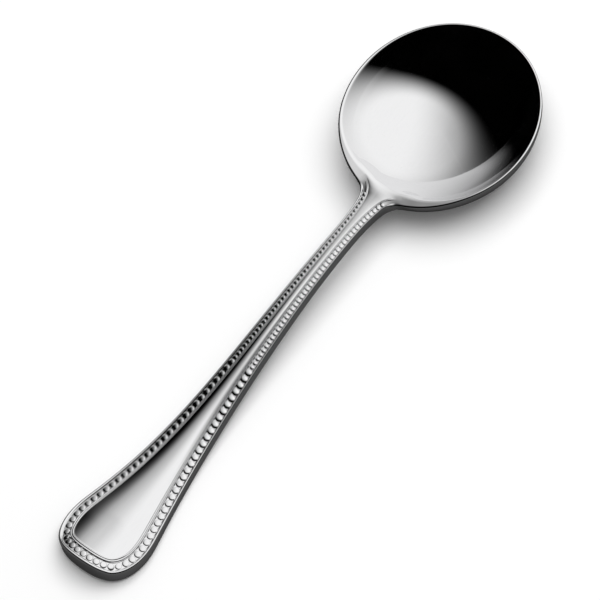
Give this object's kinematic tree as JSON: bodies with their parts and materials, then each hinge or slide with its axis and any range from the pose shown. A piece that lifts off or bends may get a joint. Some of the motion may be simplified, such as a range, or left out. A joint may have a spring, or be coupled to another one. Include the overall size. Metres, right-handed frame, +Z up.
{
  "type": "soup spoon",
  "caption": "Polished steel soup spoon with a round shallow bowl and a long waisted handle, its sunken panel framed by a fine moulding, a border of pearls and a raised rim.",
  "frame": {"origin": "on the table, half way along the spoon and on its mid plane", "axes": "+X from the tip of the handle to the front of the bowl, +Z up from the table, mirror plane at y = 0"},
  "size_m": [0.166, 0.048, 0.0121],
  "materials": {
    "polished_steel": "mirror-polished stainless steel"
  },
  "bodies": {
    "root": {"bowl": "polished_steel", "neck": "polished_steel", "shank": "polished_steel", "outer_rim": "polished_steel", "inner_moulding": "polished_steel", "large_pearls": "polished_steel", "small_pearls": "polished_steel"}
  },
  "joints": []
}
